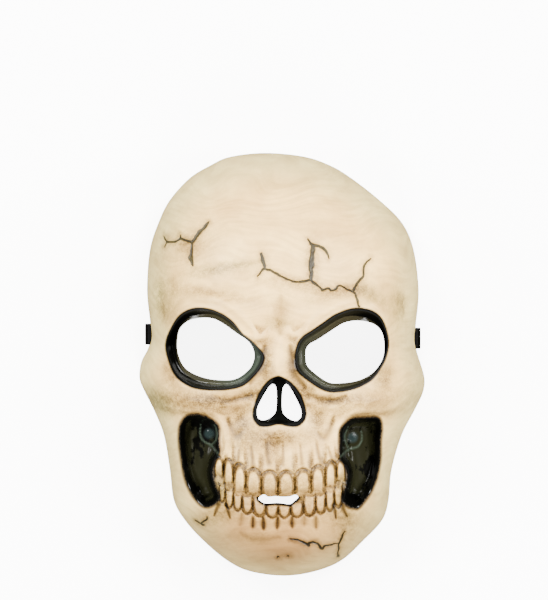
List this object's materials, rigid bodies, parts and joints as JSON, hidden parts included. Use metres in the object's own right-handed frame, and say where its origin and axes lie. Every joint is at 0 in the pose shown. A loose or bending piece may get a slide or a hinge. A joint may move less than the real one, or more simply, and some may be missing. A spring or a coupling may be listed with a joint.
{
  "type": "skull mask",
  "caption": "Full-face skull mask: a thin vacuum-formed plastic shell with open eyes, nostrils and mouth slit, held on by a flat elastic band.",
  "frame": {"origin": "on the floor under the middle of the mask's outline", "axes": "+Z the way the face looks, +Y towards the crown, +X to the right of the face as a viewer sees it"},
  "size_m": [0.1884, 0.2798, 0.0849],
  "materials": {
    "bone_plastic": "satin airbrushed bone paint with gloss black recesses",
    "black_elastic": "woven"
  },
  "bodies": {
    "root": {"mask_shell": "bone_plastic", "elastic_band": "black_elastic"}
  },
  "joints": []
}
